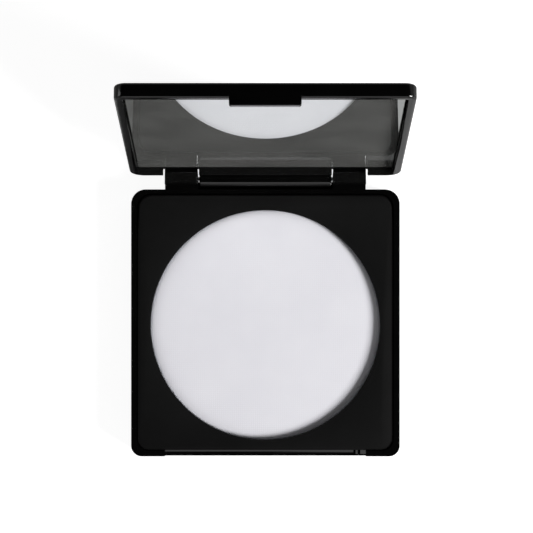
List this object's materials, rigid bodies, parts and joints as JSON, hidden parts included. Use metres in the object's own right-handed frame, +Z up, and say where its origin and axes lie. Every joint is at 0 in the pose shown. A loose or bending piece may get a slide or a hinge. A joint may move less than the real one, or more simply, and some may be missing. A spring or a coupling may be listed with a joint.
{
  "type": "powder compact",
  "caption": "Square hinged case with a round pan of pressed powder in a framed base and a mirror in its lid, which tilts back and latches at the front.",
  "frame": {"origin": "centre of the base's flat underside", "axes": "+X to the right, -Y towards the latch edge, +Y towards the hinge, +Z up"},
  "size_m": [0.07, 0.0917, 0.0797],
  "materials": {
    "gloss_shell": "polished black ABS",
    "satin_panel": "fine matte black ABS",
    "pressed_powder": "pressed powder, cloth-pressed face",
    "tinplate": "drawn tinplate",
    "pin_steel": "cut wire",
    "silvered_glass": "back-silvered float glass",
    "tape": "double-sided tissue tape",
    "label": "satin coated paper, blank"
  },
  "bodies": {
    "base": {"base_shell": "gloss_shell", "base_panel": "satin_panel", "pan_adhesive": "tape", "powder_pan": "tinplate", "powder_cake": "pressed_powder", "hinge_pin_left": "pin_steel", "hinge_pin_right": "pin_steel", "base_label": "label"},
    "lid": {"lid_shell": "gloss_shell", "mirror": "silvered_glass", "mirror_tape_left": "tape", "mirror_tape_right": "tape"}
  },
  "joints": [
    {"name": "lid_hinge", "type": "hinge", "parent": "base", "child": "lid", "pos_m": [0, 0.03743, 0.00895], "axis": [1, 0, 0], "range_deg": [0, 102.8]}
  ]
}
